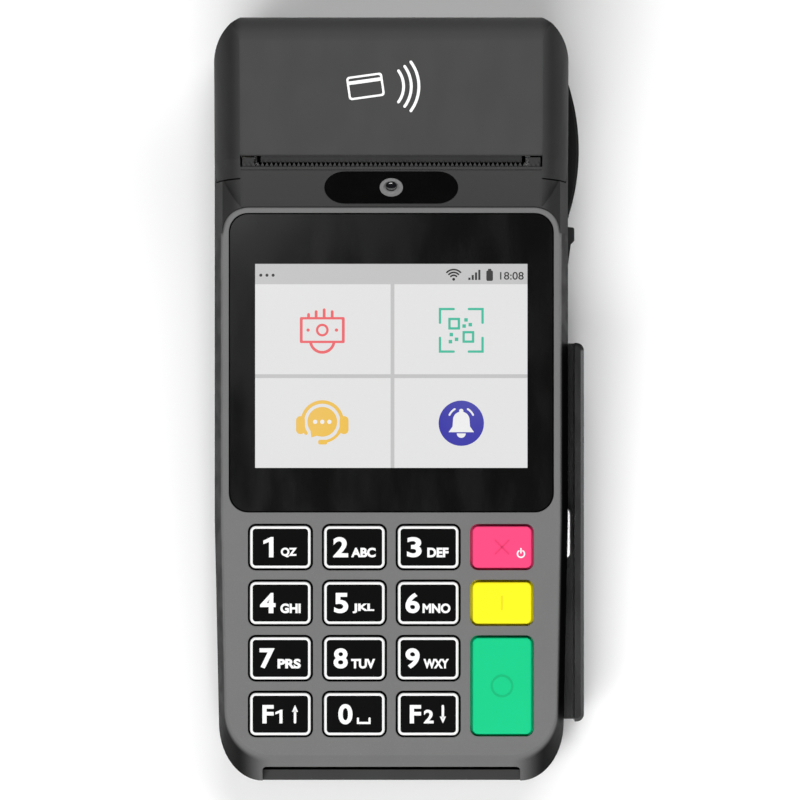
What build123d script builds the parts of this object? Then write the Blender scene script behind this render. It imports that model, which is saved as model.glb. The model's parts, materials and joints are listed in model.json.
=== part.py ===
from build123d import *
import os
from math import asin, atan2, cos, degrees, pi, radians, sin, tan

# A portable card payment terminal: keypad and colour display on the face, a chip-card slot
# under the chin, a magnetic-stripe rail on the right flank and a receipt printer in the head.
#
# Every piece is drawn with the face lying flat: X to the right, Y towards the printer and
# Z out of the face, with the faceplate's surface at Z = 0. STANCE then tips the finished
# pieces by TILT onto their rubber feet, with the table at Z = 0 and the origin in the middle
# of the footprint. Lengths are in millimetres.

os.makedirs("parts", exist_ok=True)

# ---- Driving dimensions -------------------------------------------------------------------
TILT = 8.0                  # lean of the face towards the user
HALF_WIDTH = 37.5           # body, without the swipe rail
HALF_LENGTH = 80.6          # card-slot end to printer end
FRONT_HALF = 36.6           # the flanks taper to this at the front corners
TAPER_Y = -25.0             # where that taper starts
CORNER_X = 27.35            # straight part of the card-slot end, and of its notch
CORNER_Y = -68.3            # where the elliptical front corners start
HEAD_CORNER = 10.6          # plan radius of the printer end's corners
HEAD_CORNER_Y = 71.1
WALL = 2.2
COVER_WALL = 2.0
SEAM = 0.3                  # gap around a panel that opens
FIT = 0.1                   # gap around a piece that sits in a recess
RUN = 0.05                  # radial clearance of a turning fit

PLATE = 2.0                 # faceplate
PLATE_HALF = 35.7
PLATE_FRONT_HALF = 35.0
PLATE_TOP_Y = 41.0
PLATE_FRONT_Y = -74.9
PLATE_CORNER = 9.9
PLATE_TOP_CORNER = 5.5
SKIRT_TOP_Y = PLATE_TOP_Y - PLATE_TOP_CORNER
SKIRT_DROP = 5.5            # the plate's skirt reaches the full outline at this depth
DECK_Z = -4.0               # underside of the deck that carries the plate
PARTING_Z = -12.0           # upper and lower housings meet

SLOPE_ANGLE = 40.1          # camera slope
TEAR_Y = 49.3               # top of the slope, where receipts are torn off
TEAR_HALF = 31.4
COVER_Y = 51.6              # front edge of the paper cover
COVER_EDGE_Z = 8.5
COVER_ANGLE = 11.7
ROOF_HALF = 31.8            # flat part of the head between its shoulders
SHOULDER_DROP = 13.0
COVER_BACK_ROUND = 4.5
COVER_SEAM_Z = -4.0

HINGE_Y = 78.0              # paper cover's pin
HINGE_Z = -9.0
HINGE_PIN_R = 1.0
BARREL_R = 3.0
GROOVE_R = 3.4
EAR_X = (26.0, 29.0)

GRIP_Z = -23.2              # underside between the front pad and the paper bay
PAD_FRONT_Z = -19.5         # underside at the card-slot end
FOOT_HEIGHT = 1.5
BAY_STEP_Y = (22.0, 32.0)   # the underside drops from the grip to the paper bay

KEY_COLUMNS = (-23.45, -7.8, 7.8, 23.4)
KEY_ROWS = (-30.9, -42.7, -54.4, -66.2)
KEY_SIZE = (12.8, 8.9)
COLOUR_KEY_SIZE = (12.5, 8.8)
ENTER_SIZE = (12.5, 20.4)
ENTER_Y = -60.25
WELL_GROWTH = 1.0           # well opening less key cap
FLANGE_GROWTH = 2.0         # key flange less key cap
KEY_RISE = 0.9
KEY_TRAVEL = 0.8

GLASS_HALF = 34.3
GLASS_Y = (-23.5, 39.7)
GLASS_CORNER = 4.1
GLASS_DEPTH = 1.3

CAMERA_Y = 45.0
WINDOW_SIZE = (28.1, 8.6)

SLOT_Z = (-8.0, -6.2)       # card throat
NOTCH_Y = -77.5

RAIL_X = (38.85, 40.8)
RAIL_Y = (-67.9, 12.3)
RAIL_TOP_Z = -1.5
RAIL_FLOOR_Z = -14.5
RAIL_BOTTOM_Z = -18.0
RAIL_ROUND = 1.6
HEAD_Y = -28.1              # magnetic head
HEAD_Z = -8.8

PLATEN_Y, PLATEN_Z, PLATEN_R = 57.0, 2.6, 4.0
PLATEN_SHAFT_R = 1.5
PLATEN_HALF = 28.0
GEAR_X = -31.6              # left face of the gear train
GEAR_WIDTH = 2.0
MODULE = 0.4
PLATEN_TEETH, IDLER_TEETH, PINION_TEETH = 20, 30, 14
IDLER_ANGLE = 226.0         # from the platen to the idler, seen from the right
PINION_ANGLE = 217.0        # from the idler to the pinion
FRAME_PLATE_X = 28.4
FRAME_PLATE = 1.0
HEAD_PIVOT = (51.2, -2.9)   # the print head rocks on this
HEAD_PIVOT_R = 0.8
IDLER_STUD_R = 1.0
MOTOR_R = 5.0
MOTOR_SHAFT_R = 0.75
PRESSURE_ANGLE = 20.0
BACKLASH = 0.03
TEETH_OUT, TEETH_IN = 0.85, 1.1  # tooth above and below the pitch circle, in modules

ROLL_Y, ROLL_Z, ROLL_R = 60.5, -21.7, 15.0
ROLL_HALF = 28.0
CORE_R = 6.5

LEVER_PIN_X, LEVER_PIN_Y = 36.7, 39.6
LEVER_Z = (-20.6, -13.6)
LEVER_END_Y = 68.3
LEVER_BULGE = (39.9, 57.1)  # proudest point of the finger grip
FLAP_PIN_X, FLAP_PIN_Y = 36.95, 27.5
FLAP_Z = (-20.6, -13.2)
SIDE_PIN_R = 0.55           # pins of the lever and the flap
SIDE_PIN_Z = -17.0

FOOT_Y = (-69.0, 66.0)
FOOT_SIZE = (44.0, 7.0)
BOARD_Z = (-12.6, -11.0)
SPEAKER = (-13.0, 28.0)
BATTERY_OPENING = ((-25.5, 25.5), (-45.0, 17.0))
BATTERY_COVER = ((-29.0, 29.0), (-49.0, 21.0))
CASE_SCREWS = ((-31.5, -64.0), (31.5, -64.0), (-32.2, 19.0), (32.2, 19.0))
BOARD_SCREWS = ((-24.5, -55.0), (24.5, -55.0), (-24.5, 26.0), (24.5, 26.0))
COVER_SCREWS = ((0, -47.0), (0, 19.0))

# ---- Derived places -----------------------------------------------------------------------
TAN_TILT = tan(radians(TILT))


def underside_z(y):
    """Height of the underside's two flat pads at y; they lie parallel to the table."""
    return PAD_FRONT_Z - (y + HALF_LENGTH) * TAN_TILT


def cover_z(y):
    """Height of the cover's flat roof at y."""
    return COVER_EDGE_Z + (y - COVER_Y) * tan(radians(COVER_ANGLE))


def slope_z(y):
    """Height of the camera slope at y."""
    return (y - PLATE_TOP_Y) * tan(radians(SLOPE_ANGLE))


def polar(y, z, distance, angle):
    """Point at a distance and an angle from (y, z), in a plane across X."""
    return (y + distance * cos(radians(angle)), z + distance * sin(radians(angle)))


def mesh_distance(teeth_a, teeth_b):
    return MODULE * (teeth_a + teeth_b) / 2


IDLER = polar(PLATEN_Y, PLATEN_Z, mesh_distance(PLATEN_TEETH, IDLER_TEETH), IDLER_ANGLE)
PINION = polar(*IDLER, mesh_distance(IDLER_TEETH, PINION_TEETH), PINION_ANGLE)

# The table lies FOOT_HEIGHT under the pads. Tipping by TILT about X makes it level.
REACH_FRONT = HALF_LENGTH * cos(radians(TILT)) - SKIRT_DROP * sin(radians(TILT))
REACH_BACK = HALF_LENGTH * cos(radians(TILT)) - underside_z(HALF_LENGTH - 6) * sin(radians(TILT))
TABLE_DROP = (FOOT_HEIGHT - PAD_FRONT_Z) * cos(radians(TILT)) + HALF_LENGTH * sin(radians(TILT))
STANCE = Location(
    ((HALF_WIDTH - RAIL_X[1]) / 2, (REACH_FRONT - REACH_BACK) / 2, TABLE_DROP), (TILT, 0, 0)
)

SLOPE = Plane(
    origin=(0, CAMERA_Y, slope_z(CAMERA_Y)),
    x_dir=(1, 0, 0),
    z_dir=(0, -sin(radians(SLOPE_ANGLE)), cos(radians(SLOPE_ANGLE))),
)
ROOF = Plane(
    origin=(0, 68.5, cover_z(68.5)),
    x_dir=(1, 0, 0),
    z_dir=(0, -sin(radians(COVER_ANGLE)), cos(radians(COVER_ANGLE))),
)


def save(piece, label):
    """Stand a finished piece on its feet, name it and write it."""
    piece.part = piece.part.moved(STANCE)
    piece.part.label = label
    export_step(piece.part, f"parts/{label}.step")


# ---- Shared profiles ----------------------------------------------------------------------
def plan_outline(side, front_half, front_y, corner, head_y, head_corner):
    """Outline seen from above; corner is the centre of the elliptical front corner."""
    corner_x, corner_y = corner
    head_turn = degrees(asin((head_y - HEAD_CORNER_Y) / head_corner))
    with BuildLine() as edge:
        Line((0, front_y), (corner_x, front_y))
        EllipticalCenterArc(corner, front_half - corner_x, corner_y - front_y, 270, arc_size=90)
        Line((front_half, corner_y), (side, TAPER_Y))
        Line((side, TAPER_Y), (side, HEAD_CORNER_Y))
        arc = CenterArc((side - head_corner, HEAD_CORNER_Y), head_corner, 0, head_turn)
        Line(arc @ 1, (0, head_y))
        mirror(about=Plane.YZ)
    make_face(edge.edges())


def body_outline(inset=0.0):
    plan_outline(
        HALF_WIDTH - inset,
        FRONT_HALF - inset,
        inset - HALF_LENGTH,
        (CORNER_X, CORNER_Y),
        HALF_LENGTH - inset,
        HEAD_CORNER - inset,
    )


def plate_outline(inset=0.0):
    """The faceplate's edge, carried on to the head so that it matches the body outline."""
    margin = HALF_WIDTH - PLATE_HALF + inset
    plan_outline(
        PLATE_HALF - inset,
        PLATE_FRONT_HALF - inset,
        PLATE_FRONT_Y + inset,
        (PLATE_FRONT_HALF - PLATE_CORNER, PLATE_FRONT_Y + PLATE_CORNER),
        HALF_LENGTH - margin,
        HEAD_CORNER - margin,
    )


def polygon(*points):
    with BuildLine() as edge:
        Polyline(*points, close=True)
    make_face(edge.edges())


def skirt_body():
    """The solid between the plate's edge at Z = 0 and the body outline below it."""
    with BuildPart() as skirt:
        with BuildSketch():
            plate_outline()
        with BuildSketch(Plane.XY.offset(-SKIRT_DROP)):
            body_outline()
        loft(ruled=True)
    return skirt.part


def roof_section(inset, height):
    """Section across the head: flat roof at a height, kinked shoulders and upright flanks."""
    side = HALF_WIDTH - inset
    run = HALF_WIDTH - ROOF_HALF
    radius = (run**2 + SHOULDER_DROP**2) / (2 * run) - inset
    start = asin((SHOULDER_DROP - inset) / radius)
    with BuildLine() as edge:
        Line((0, height - 60), (side, height - 60))
        Line((side, height - 60), (side, height - SHOULDER_DROP))
        arc = CenterArc((side - radius, height - SHOULDER_DROP), radius, 0, degrees(start))
        Line(arc @ 1, (0, height - inset))
        mirror(about=Plane.YZ)
    make_face(edge.edges())


def head_block(inset=0.0, bottom=-16.0, start=38.0):
    """The head's outer solid, or its hollow when inset by a wall."""
    with BuildPart() as block:
        with BuildSketch(Plane.XY.offset(bottom)):
            body_outline(inset)
            with Locations((0, HALF_LENGTH)):
                Rectangle(100, 2 * (HALF_LENGTH - start), mode=Mode.INTERSECT)
        extrude(amount=60)
        for lean, height in ((SLOPE_ANGLE, slope_z(start)), (COVER_ANGLE, cover_z(start))):
            slant = inset / cos(radians(lean)) - inset
            with BuildSketch(Plane.XZ.offset(-start)):
                roof_section(inset, height - slant)
            extrude(
                amount=90, dir=(0, cos(radians(lean)), sin(radians(lean))), mode=Mode.INTERSECT
            )
        back_top = block.edges().filter_by(Axis.X).group_by(Axis.Z)[-1].sort_by(Axis.Y)[-1]
        fillet(back_top, COVER_BACK_ROUND - inset)
    return block.part


def cover_region(gap=0.0, flank=False):
    """Side view of what belongs to the paper cover, grown by a gap for the housings."""
    front = TEAR_Y if gap else COVER_Y
    top, bottom = (front, 30), (front, COVER_SEAM_Z - gap)
    if flank:
        top, bottom = (48.6 - gap, 30), (46.5 - gap, COVER_SEAM_Z - gap)
    polygon(
        top,
        bottom,
        (70.0, COVER_SEAM_Z - gap),
        (76.0 - gap, HINGE_Z),
        (HALF_LENGTH + 5, HINGE_Z),
        (HALF_LENGTH + 5, 30),
    )
    with Locations((HINGE_Y, HINGE_Z)):
        Circle(GROOVE_R if gap else BARREL_R)
    if gap:
        with Locations((HALF_LENGTH, HINGE_Z - 2)):
            Rectangle(2 * (HALF_LENGTH - 76.0 + gap), 4)


def cover_volume(gap=0.0):
    """The cover region as a solid: set back behind the tear bar, longer down the flanks."""
    with BuildPart() as volume:
        with BuildSketch(Plane.YZ):
            cover_region(gap)
        extrude(amount=ROOF_HALF, both=True)
        with BuildSketch(Plane.YZ.offset(ROOF_HALF)):
            cover_region(gap, flank=True)
        extrude(amount=10)
        mirror(about=Plane.YZ)
    return volume.part


def tube_on_x(y, z, outer, inner, x_range):
    """A solid or bored cylinder lying across the terminal."""
    with BuildSketch(Plane.YZ.offset(x_range[0])) as ring:
        with Locations((y, z)):
            Circle(outer)
            if inner:
                Circle(inner, mode=Mode.SUBTRACT)
    extrude(ring.sketch, amount=x_range[1] - x_range[0])


def bore_on_x(y, z, radius, x_range):
    with BuildSketch(Plane.YZ.offset(x_range[0])) as disc:
        with Locations((y, z)):
            Circle(radius)
    extrude(disc.sketch, amount=x_range[1] - x_range[0], mode=Mode.SUBTRACT)


def block_between(x_range, y_range, z_range, mode=Mode.ADD):
    """Box over three ranges."""
    size = [high - low for low, high in (x_range, y_range, z_range)]
    centre = tuple((low + high) / 2 for low, high in (x_range, y_range, z_range))
    with Locations(centre):
        Box(*size, mode=mode)


def mirrored(x):
    return (-x, x)


# ---- Faceplate and housings ---------------------------------------------------------------
def key_places():
    """(label, centre, cap size) of every key."""
    names = (
        ("1", "2", "3", "cancel"),
        ("4", "5", "6", "clear"),
        ("7", "8", "9", None),
        ("f1", "0", "f2", None),
    )
    places = [("enter", (KEY_COLUMNS[3], ENTER_Y), ENTER_SIZE)]
    for row, row_names in enumerate(names):
        for column, name in enumerate(row_names):
            size = COLOUR_KEY_SIZE if column == 3 else KEY_SIZE
            if name:
                places.append((name, (KEY_COLUMNS[column], KEY_ROWS[row]), size))
    return places


def make_front_frame():
    with BuildPart() as frame:
        add(skirt_body())
        with BuildSketch(Plane.XY.offset(1)):
            with Locations((0, SKIRT_TOP_Y / 2 - 45)):
                Rectangle(100, SKIRT_TOP_Y + 90)
            with Locations((0, PLATE_TOP_Y / 2)):
                RectangleRounded(2 * PLATE_HALF, PLATE_TOP_Y, PLATE_TOP_CORNER)
        extrude(amount=-SKIRT_DROP - 2, mode=Mode.INTERSECT)
        with BuildSketch(Plane.XY.offset(-PLATE)):
            plate_outline(1.2)
        extrude(amount=-SKIRT_DROP, mode=Mode.SUBTRACT)
        block_between(mirrored(40), (SKIRT_TOP_Y, 45), (-9, -PLATE), Mode.SUBTRACT)
        rim = frame.edges().filter_by(lambda edge: abs(edge.center().Z) < 0.01)
        fillet(rim, 0.4)
        with BuildSketch(Plane.XY):
            with Locations((0, sum(GLASS_Y) / 2)):
                RectangleRounded(
                    2 * (GLASS_HALF + FIT), GLASS_Y[1] - GLASS_Y[0] + 2 * FIT, GLASS_CORNER
                )
            for _, centre, size in key_places():
                with Locations(centre):
                    RectangleRounded(size[0] + WELL_GROWTH, size[1] + WELL_GROWTH, 1.7)
        extrude(amount=-PLATE, mode=Mode.SUBTRACT)
        with BuildSketch(Plane.XY.offset(1)):
            with Locations((0, NOTCH_Y - 5)):
                RectangleRounded(2 * CORNER_X, 10, 0.9)
        extrude(amount=-SKIRT_DROP - 2, mode=Mode.SUBTRACT)
    return frame


def make_upper_housing():
    cavity = head_block(WALL, PARTING_Z)
    outer = head_block(0.0, PARTING_Z)
    cover_gap = cover_volume(SEAM)
    skirt = skirt_body()
    with BuildPart() as head_skirt:
        add(skirt)
        with BuildSketch(Plane.XY.offset(1)):
            with Locations((0, SKIRT_TOP_Y + 30)):
                Rectangle(100, 60)
            with Locations((0, (PLATE_TOP_Y + FIT) / 2)):
                RectangleRounded(
                    2 * PLATE_HALF, PLATE_TOP_Y + FIT, PLATE_TOP_CORNER, mode=Mode.SUBTRACT
                )
        extrude(amount=-SKIRT_DROP - 2, mode=Mode.INTERSECT)
    with BuildPart() as housing:
        with BuildSketch(Plane.XY.offset(PARTING_Z)):
            body_outline()
        extrude(amount=-SKIRT_DROP - PARTING_Z)
        with BuildSketch(Plane.XY.offset(PARTING_Z)):
            plate_outline(1.3)
        extrude(amount=-PLATE - PARTING_Z)
        add(head_skirt.part)
        add(outer)
        with BuildSketch(Plane.XY.offset(PARTING_Z)):
            body_outline(WALL)
        extrude(amount=-SKIRT_DROP - 1 - PARTING_Z, mode=Mode.SUBTRACT)
        with BuildSketch(Plane.XY.offset(PARTING_Z)):
            plate_outline(2.7)
        extrude(amount=DECK_Z - PARTING_Z, mode=Mode.SUBTRACT)
        add(cavity, mode=Mode.SUBTRACT)
        # Seat of the faceplate's upper end
        with BuildSketch(Plane.XY.offset(-PLATE)):
            with Locations((0, (PLATE_TOP_Y + FIT) / 2)):
                RectangleRounded(2 * PLATE_HALF, PLATE_TOP_Y + FIT, PLATE_TOP_CORNER)
        extrude(amount=10, mode=Mode.SUBTRACT)
        # Openings in the deck for the keypad and the display
        block_between(mirrored(32.4), (-72.6, -25.2), (-5, 1), Mode.SUBTRACT)
        block_between(mirrored(33.0), (-20.2, 33.2), (-5, 1), Mode.SUBTRACT)
        add(cover_gap, mode=Mode.SUBTRACT)
        # Card mouth: a notch in the chin and a throat under it
        block_between(mirrored(CORNER_X), (-85, NOTCH_Y), (SLOT_Z[0], 1), Mode.SUBTRACT)
        block_between(mirrored(CORNER_X), (-85, -70), SLOT_Z, Mode.SUBTRACT)
        # Window for the magnetic head
        block_between((30, 40), (HEAD_Y - 5.8, HEAD_Y + 5.8), (-11.3, -6.2), Mode.SUBTRACT)
        # Bosses for the case screws
        for x, y in CASE_SCREWS:
            side = 1 if x > 0 else -1
            with BuildSketch(Plane.XY.offset(PARTING_Z)):
                with Locations((x, y)):
                    Circle(2.8)
                with Locations((x + side * 1.8, y)):
                    Rectangle(3.6, 3.0)
                with Locations((x, y)):
                    Circle(1.2, mode=Mode.SUBTRACT)
            extrude(amount=-SKIRT_DROP - FIT - PARTING_Z)
        # Camera recess and its hole
        with BuildSketch(SLOPE):
            SlotOverall(WINDOW_SIZE[0] + 2 * FIT, WINDOW_SIZE[1] + 2 * FIT)
        extrude(amount=-1.0, mode=Mode.SUBTRACT)
        with BuildSketch(SLOPE):
            RectangleRounded(6.0, 6.0, 0.5)
        extrude(amount=-6, mode=Mode.SUBTRACT)
        # Seat of the tear bar
        block_between(mirrored(TEAR_HALF + 0.3), (TEAR_Y - 0.7, TEAR_Y + 3), (5.7, 6.5), Mode.SUBTRACT)
    return housing


def underside_profile(inset=0.0):
    """Side view of the lower housing: two pads parallel to the table, with a grip between."""
    front, back = inset - HALF_LENGTH, HALF_LENGTH - inset
    step_front, step_back = (y + inset for y in BAY_STEP_Y)
    grip_front = -HALF_LENGTH + (PAD_FRONT_Z - GRIP_Z) / TAN_TILT
    polygon(
        (front, PARTING_Z),
        (front, underside_z(front) + inset),
        (grip_front, GRIP_Z + inset),
        (step_front, GRIP_Z + inset),
        (step_back, underside_z(step_back) + inset),
        (back, underside_z(back) + inset),
        (back, PARTING_Z),
    )


def foot_pad(y, growth=0.0):
    """A rubber bar under a pad of the housing, standing on the table."""
    plane = Plane(
        origin=(0, y, underside_z(y) - FOOT_HEIGHT / cos(radians(TILT))),
        x_dir=(1, 0, 0),
        z_dir=(0, sin(radians(TILT)), cos(radians(TILT))),
    )
    with BuildPart() as pad:
        with BuildSketch(plane):
            SlotOverall(FOOT_SIZE[0] + 2 * growth, FOOT_SIZE[1] + 2 * growth)
        extrude(amount=FOOT_HEIGHT + 0.6)
    return pad.part


def make_lower_housing():
    pads = [foot_pad(y, FIT) for y in FOOT_Y]
    with BuildPart() as hollow:
        with BuildSketch(Plane.XY.offset(-60)):
            body_outline(WALL)
        extrude(amount=60 + PARTING_Z)
        with BuildSketch(Plane.YZ) as side_view:
            underside_profile(WALL)
            low = side_view.vertices().filter_by(lambda vertex: vertex.Y < PARTING_Z - 1)
            fillet(low, 1.5)
        extrude(amount=60, both=True, mode=Mode.INTERSECT)
    with BuildPart() as groove:
        tube_on_x(HINGE_Y, HINGE_Z, GROOVE_R, 0, mirrored(36.0))
    with BuildPart() as housing:
        with BuildSketch(Plane.XY.offset(-60)):
            body_outline()
        extrude(amount=60 + PARTING_Z)
        with BuildSketch(Plane.YZ) as side_view:
            underside_profile()
            low = side_view.vertices().filter_by(lambda vertex: vertex.Y < PARTING_Z - 1)
            fillet(low, 3.5)
        extrude(amount=60, both=True, mode=Mode.INTERSECT)
        rim = housing.edges().filter_by(lambda edge: edge.center().Z < PARTING_Z - 4)
        flanks = rim.filter_by(lambda edge: abs(edge.center().X) > 30).filter_by(
            lambda edge: abs((edge % 0.5).Z) < 0.9
        )
        fillet(flanks, 3.0)
        add(hollow.part, mode=Mode.SUBTRACT)
        # Thicker flank behind the release lever and the port flap
        block_between((31.5, 35.6), (24.0, 72.0), (-24.0, PARTING_Z))
        # Partition in front of the paper bay
        block_between(mirrored(35.5), (36.2, 37.6), (-34.0, -16.3))
        # Groove and ears of the cover's hinge
        add(groove.part, mode=Mode.SUBTRACT)
        for side in mirrored(1):
            near, far = sorted((side * EAR_X[0], side * EAR_X[1]))
            with BuildSketch(Plane.YZ.offset(near)):
                with Locations((HINGE_Y, HINGE_Z)):
                    Circle(2.3)
                with Locations((HINGE_Y, (HINGE_Z + PARTING_Z - 3) / 2)):
                    Rectangle(4.6, HINGE_Z - PARTING_Z + 3)
            extrude(amount=far - near)
        bore_on_x(HINGE_Y, HINGE_Z, HINGE_PIN_R, mirrored(EAR_X[1]))
        # Pocket and pin hole of the release lever
        block_between((35.2, 41), (LEVER_PIN_Y - 1.6, 68.8), (-20.9, -13.3), Mode.SUBTRACT)
        with Locations((LEVER_PIN_X, LEVER_PIN_Y, SIDE_PIN_Z)):
            Cylinder(0.6, 9.4, mode=Mode.SUBTRACT)
        # Pocket, pin hole and port behind the flap
        block_between((36.1, 41), (26.6, 37.6), (FLAP_Z[0] - 0.3, FLAP_Z[1] + 0.3), Mode.SUBTRACT)
        block_between((30, 41), (27.9, 36.9), (-18.8, -15.4), Mode.SUBTRACT)
        # Battery opening with a ledge for its cover
        block_between(*BATTERY_OPENING, (-30, -15), Mode.SUBTRACT)
        block_between(*grown(BATTERY_COVER, FIT), (-30, GRIP_Z + 1.2), Mode.SUBTRACT)
        # Screw bosses
        for x, y in CASE_SCREWS:
            side = 1 if x > 0 else -1
            with BuildSketch(Plane.XY.offset(GRIP_Z + 0.8)):
                with Locations((x, y)):
                    Circle(3.0)
                with Locations((x + side * 1.8, y)):
                    Rectangle(3.6, 3.0)
            extrude(amount=PARTING_Z - GRIP_Z - 0.8)
            with BuildSketch(Plane.XY.offset(-30)):
                with Locations((x, y)):
                    Circle(2.3)
            extrude(amount=30 - 18.0, mode=Mode.SUBTRACT)
            with BuildSketch(Plane.XY.offset(-30)):
                with Locations((x, y)):
                    Circle(1.35)
            extrude(amount=30, mode=Mode.SUBTRACT)
        for x, y in BOARD_SCREWS:
            with BuildSketch(Plane.XY.offset(BOARD_Z[0])):
                with Locations((x, y)):
                    Circle(2.2)
                    Circle(0.8, mode=Mode.SUBTRACT)
            extrude(amount=GRIP_Z + 1.5 - BOARD_Z[0])
        for x, y in COVER_SCREWS:
            with BuildSketch(Plane.XY.offset(GRIP_Z + 1.2)):
                with Locations((x, y)):
                    Circle(1.9)
                    Circle(0.8, mode=Mode.SUBTRACT)
            extrude(amount=4.0)
            with BuildSketch(Plane.XY.offset(GRIP_Z)):
                with Locations((x, y)):
                    Circle(0.8)
            extrude(amount=5.2, mode=Mode.SUBTRACT)
        # Speaker grille
        with Locations((SPEAKER[0], SPEAKER[1], -28)):
            with GridLocations(2.4, 0, 6, 1):
                Box(1.0, 9.0, 12.0, mode=Mode.SUBTRACT)
        for pad in pads:
            add(pad, mode=Mode.SUBTRACT)
    return housing


def grown(ranges, amount):
    return tuple((low - amount, high + amount) for low, high in ranges)


# ---- Face: display, camera and keypad -----------------------------------------------------
def make_display_glass():
    with BuildPart() as glass:
        with BuildSketch(Plane.XY.offset(-GLASS_DEPTH)):
            with Locations((0, sum(GLASS_Y) / 2)):
                RectangleRounded(2 * GLASS_HALF, GLASS_Y[1] - GLASS_Y[0], GLASS_CORNER)
        extrude(amount=GLASS_DEPTH - 0.1)
        chamfer(glass.edges().group_by(Axis.Z)[-1], 0.2)
    return glass


def make_lcd_module():
    with BuildPart() as lcd:
        block_between(mirrored(32.0), (-19.0, 32.5), (-3.9, -GLASS_DEPTH - FIT))
        block_between(mirrored(8.0), (-19.8, -19.0), (-3.9, -2.9))
    return lcd


def make_camera_window():
    with BuildPart() as window:
        with BuildSketch(SLOPE.offset(-1.0)):
            SlotOverall(*WINDOW_SIZE)
            Circle(2.5, mode=Mode.SUBTRACT)
        extrude(amount=0.9)
    return window


def make_camera_ring():
    """Conical trim ring round the lens."""
    with BuildPart() as ring:
        with BuildSketch(SLOPE.offset(-1.0)):
            Circle(2.45)
            Circle(1.2, mode=Mode.SUBTRACT)
        extrude(amount=0.9)
        mouth = ring.edges().filter_by(lambda edge: abs(edge.length - 2 * pi * 1.2) < 0.01)
        chamfer(mouth.sort_by(Axis.Z)[-1], 0.5)
    return ring


def make_camera_lens():
    with BuildPart() as lens:
        with BuildSketch(SLOPE.offset(-1.0)):
            Circle(1.15)
        extrude(amount=0.6)
        fillet(lens.edges().sort_by(Axis.Z)[-1], 0.2)
    return lens


def make_camera_module():
    with BuildPart() as module:
        with BuildSketch(SLOPE.offset(-1.05)):
            RectangleRounded(5.6, 5.6, 0.4)
        extrude(amount=-2.8)
        with BuildSketch(SLOPE.offset(-2.0)):
            Circle(1.8)
        extrude(amount=-1.9)
    return module


def make_key(centre, size):
    """A key cap with a softly rounded top, and the flange that keeps it in its well."""
    with BuildPart() as key:
        with BuildSketch(Plane.XY.offset(-PLATE - 0.9)):
            with Locations(centre):
                RectangleRounded(size[0] + FLANGE_GROWTH, size[1] + FLANGE_GROWTH, 1.8)
        extrude(amount=0.7)
        with BuildSketch(Plane.XY.offset(-PLATE - 0.4)):
            with Locations(centre):
                RectangleRounded(*size, 1.2)
        extrude(amount=PLATE + 0.4 + KEY_RISE)
        fillet(key.edges().group_by(Axis.Z)[-1], 0.35)
    return key


def make_keypad_mat():
    with BuildPart() as mat:
        with BuildSketch(Plane.XY.offset(-4.2)):
            with Locations((0, -48.6)):
                RectangleRounded(63.6, 46.0, 2.0)
        extrude(amount=0.4)
    return mat


def make_keypad_board():
    with BuildPart() as board:
        with BuildSketch(Plane.XY.offset(-5.1)):
            with Locations((0, -48.1)):
                RectangleRounded(63.0, 44.8, 3.5)
        extrude(amount=0.9)
    return board


# ---- Electronics and power ----------------------------------------------------------------
def make_main_board():
    with BuildPart() as board:
        block_between(mirrored(27.0), (-68.0, 32.0), BOARD_Z)
        for x, y in BOARD_SCREWS:
            with Locations((x, y, BOARD_Z[0])):
                Cylinder(0.9, 6, mode=Mode.SUBTRACT)
        # Processor, memory and radio under their screens
        block_between((-12, 6), (-16, 2), (BOARD_Z[1], BOARD_Z[1] + 1.6))
        block_between((10, 22), (-14, -2), (BOARD_Z[1], BOARD_Z[1] + 1.2))
        block_between((-20, -4), (10, 26), (BOARD_Z[1], BOARD_Z[1] + 2.0))
    return board


def make_card_reader():
    """Chip-card connector: a flat box with the card's channel through its middle."""
    with BuildPart() as reader:
        block_between(mirrored(28.2), (-76.0, -30.0), (-9.7, -5.6))
        block_between(mirrored(27.2), (-77.0, -32.0), (-7.7, -6.7), Mode.SUBTRACT)
        block_between(mirrored(28.5), (-77.0, -71.0), (-6.8, -5.0), Mode.SUBTRACT)
    return reader


def make_battery_pack():
    with BuildPart() as battery:
        block_between(mirrored(24.5), (-44.2, 16.2), (-21.6, -13.2))
        fillet(battery.edges().filter_by(Axis.Y), 2.0)
    return battery


def make_battery_cover():
    with BuildPart() as cover:
        block_between(*BATTERY_COVER, (GRIP_Z, GRIP_Z + 1.1))
        fillet(cover.edges().filter_by(Axis.Z), 1.5)
        for x, y in COVER_SCREWS:
            with BuildSketch(Plane.XY.offset(GRIP_Z)):
                with Locations((x, y)):
                    Circle(0.9)
            extrude(amount=2, mode=Mode.SUBTRACT)
            with BuildSketch(Plane.XY.offset(GRIP_Z)):
                with Locations((x, y)):
                    Circle(1.7)
            extrude(amount=0.6, mode=Mode.SUBTRACT)
        # Thumb grooves
        with Locations((0, -6, GRIP_Z)):
            with GridLocations(0, 2.4, 1, 6):
                Box(24, 1.0, 0.8, mode=Mode.SUBTRACT)
    return cover


def screw(x, y, head_z, head, shank, length):
    """Pan-head screw driven upwards, with a cross recess; head and shank are (r, height)."""
    with BuildPart() as piece:
        with BuildSketch(Plane.XY.offset(head_z)):
            with Locations((x, y)):
                Circle(head[0])
        extrude(amount=head[1])
        with BuildSketch(Plane.XY.offset(head_z + head[1])):
            with Locations((x, y)):
                Circle(shank)
        extrude(amount=length)
        with Locations((x, y, head_z)):
            Box(head[0] * 1.2, 0.35, abs(head[1]), mode=Mode.SUBTRACT)
            Box(0.35, head[0] * 1.2, abs(head[1]), mode=Mode.SUBTRACT)
    return piece.part


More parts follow.
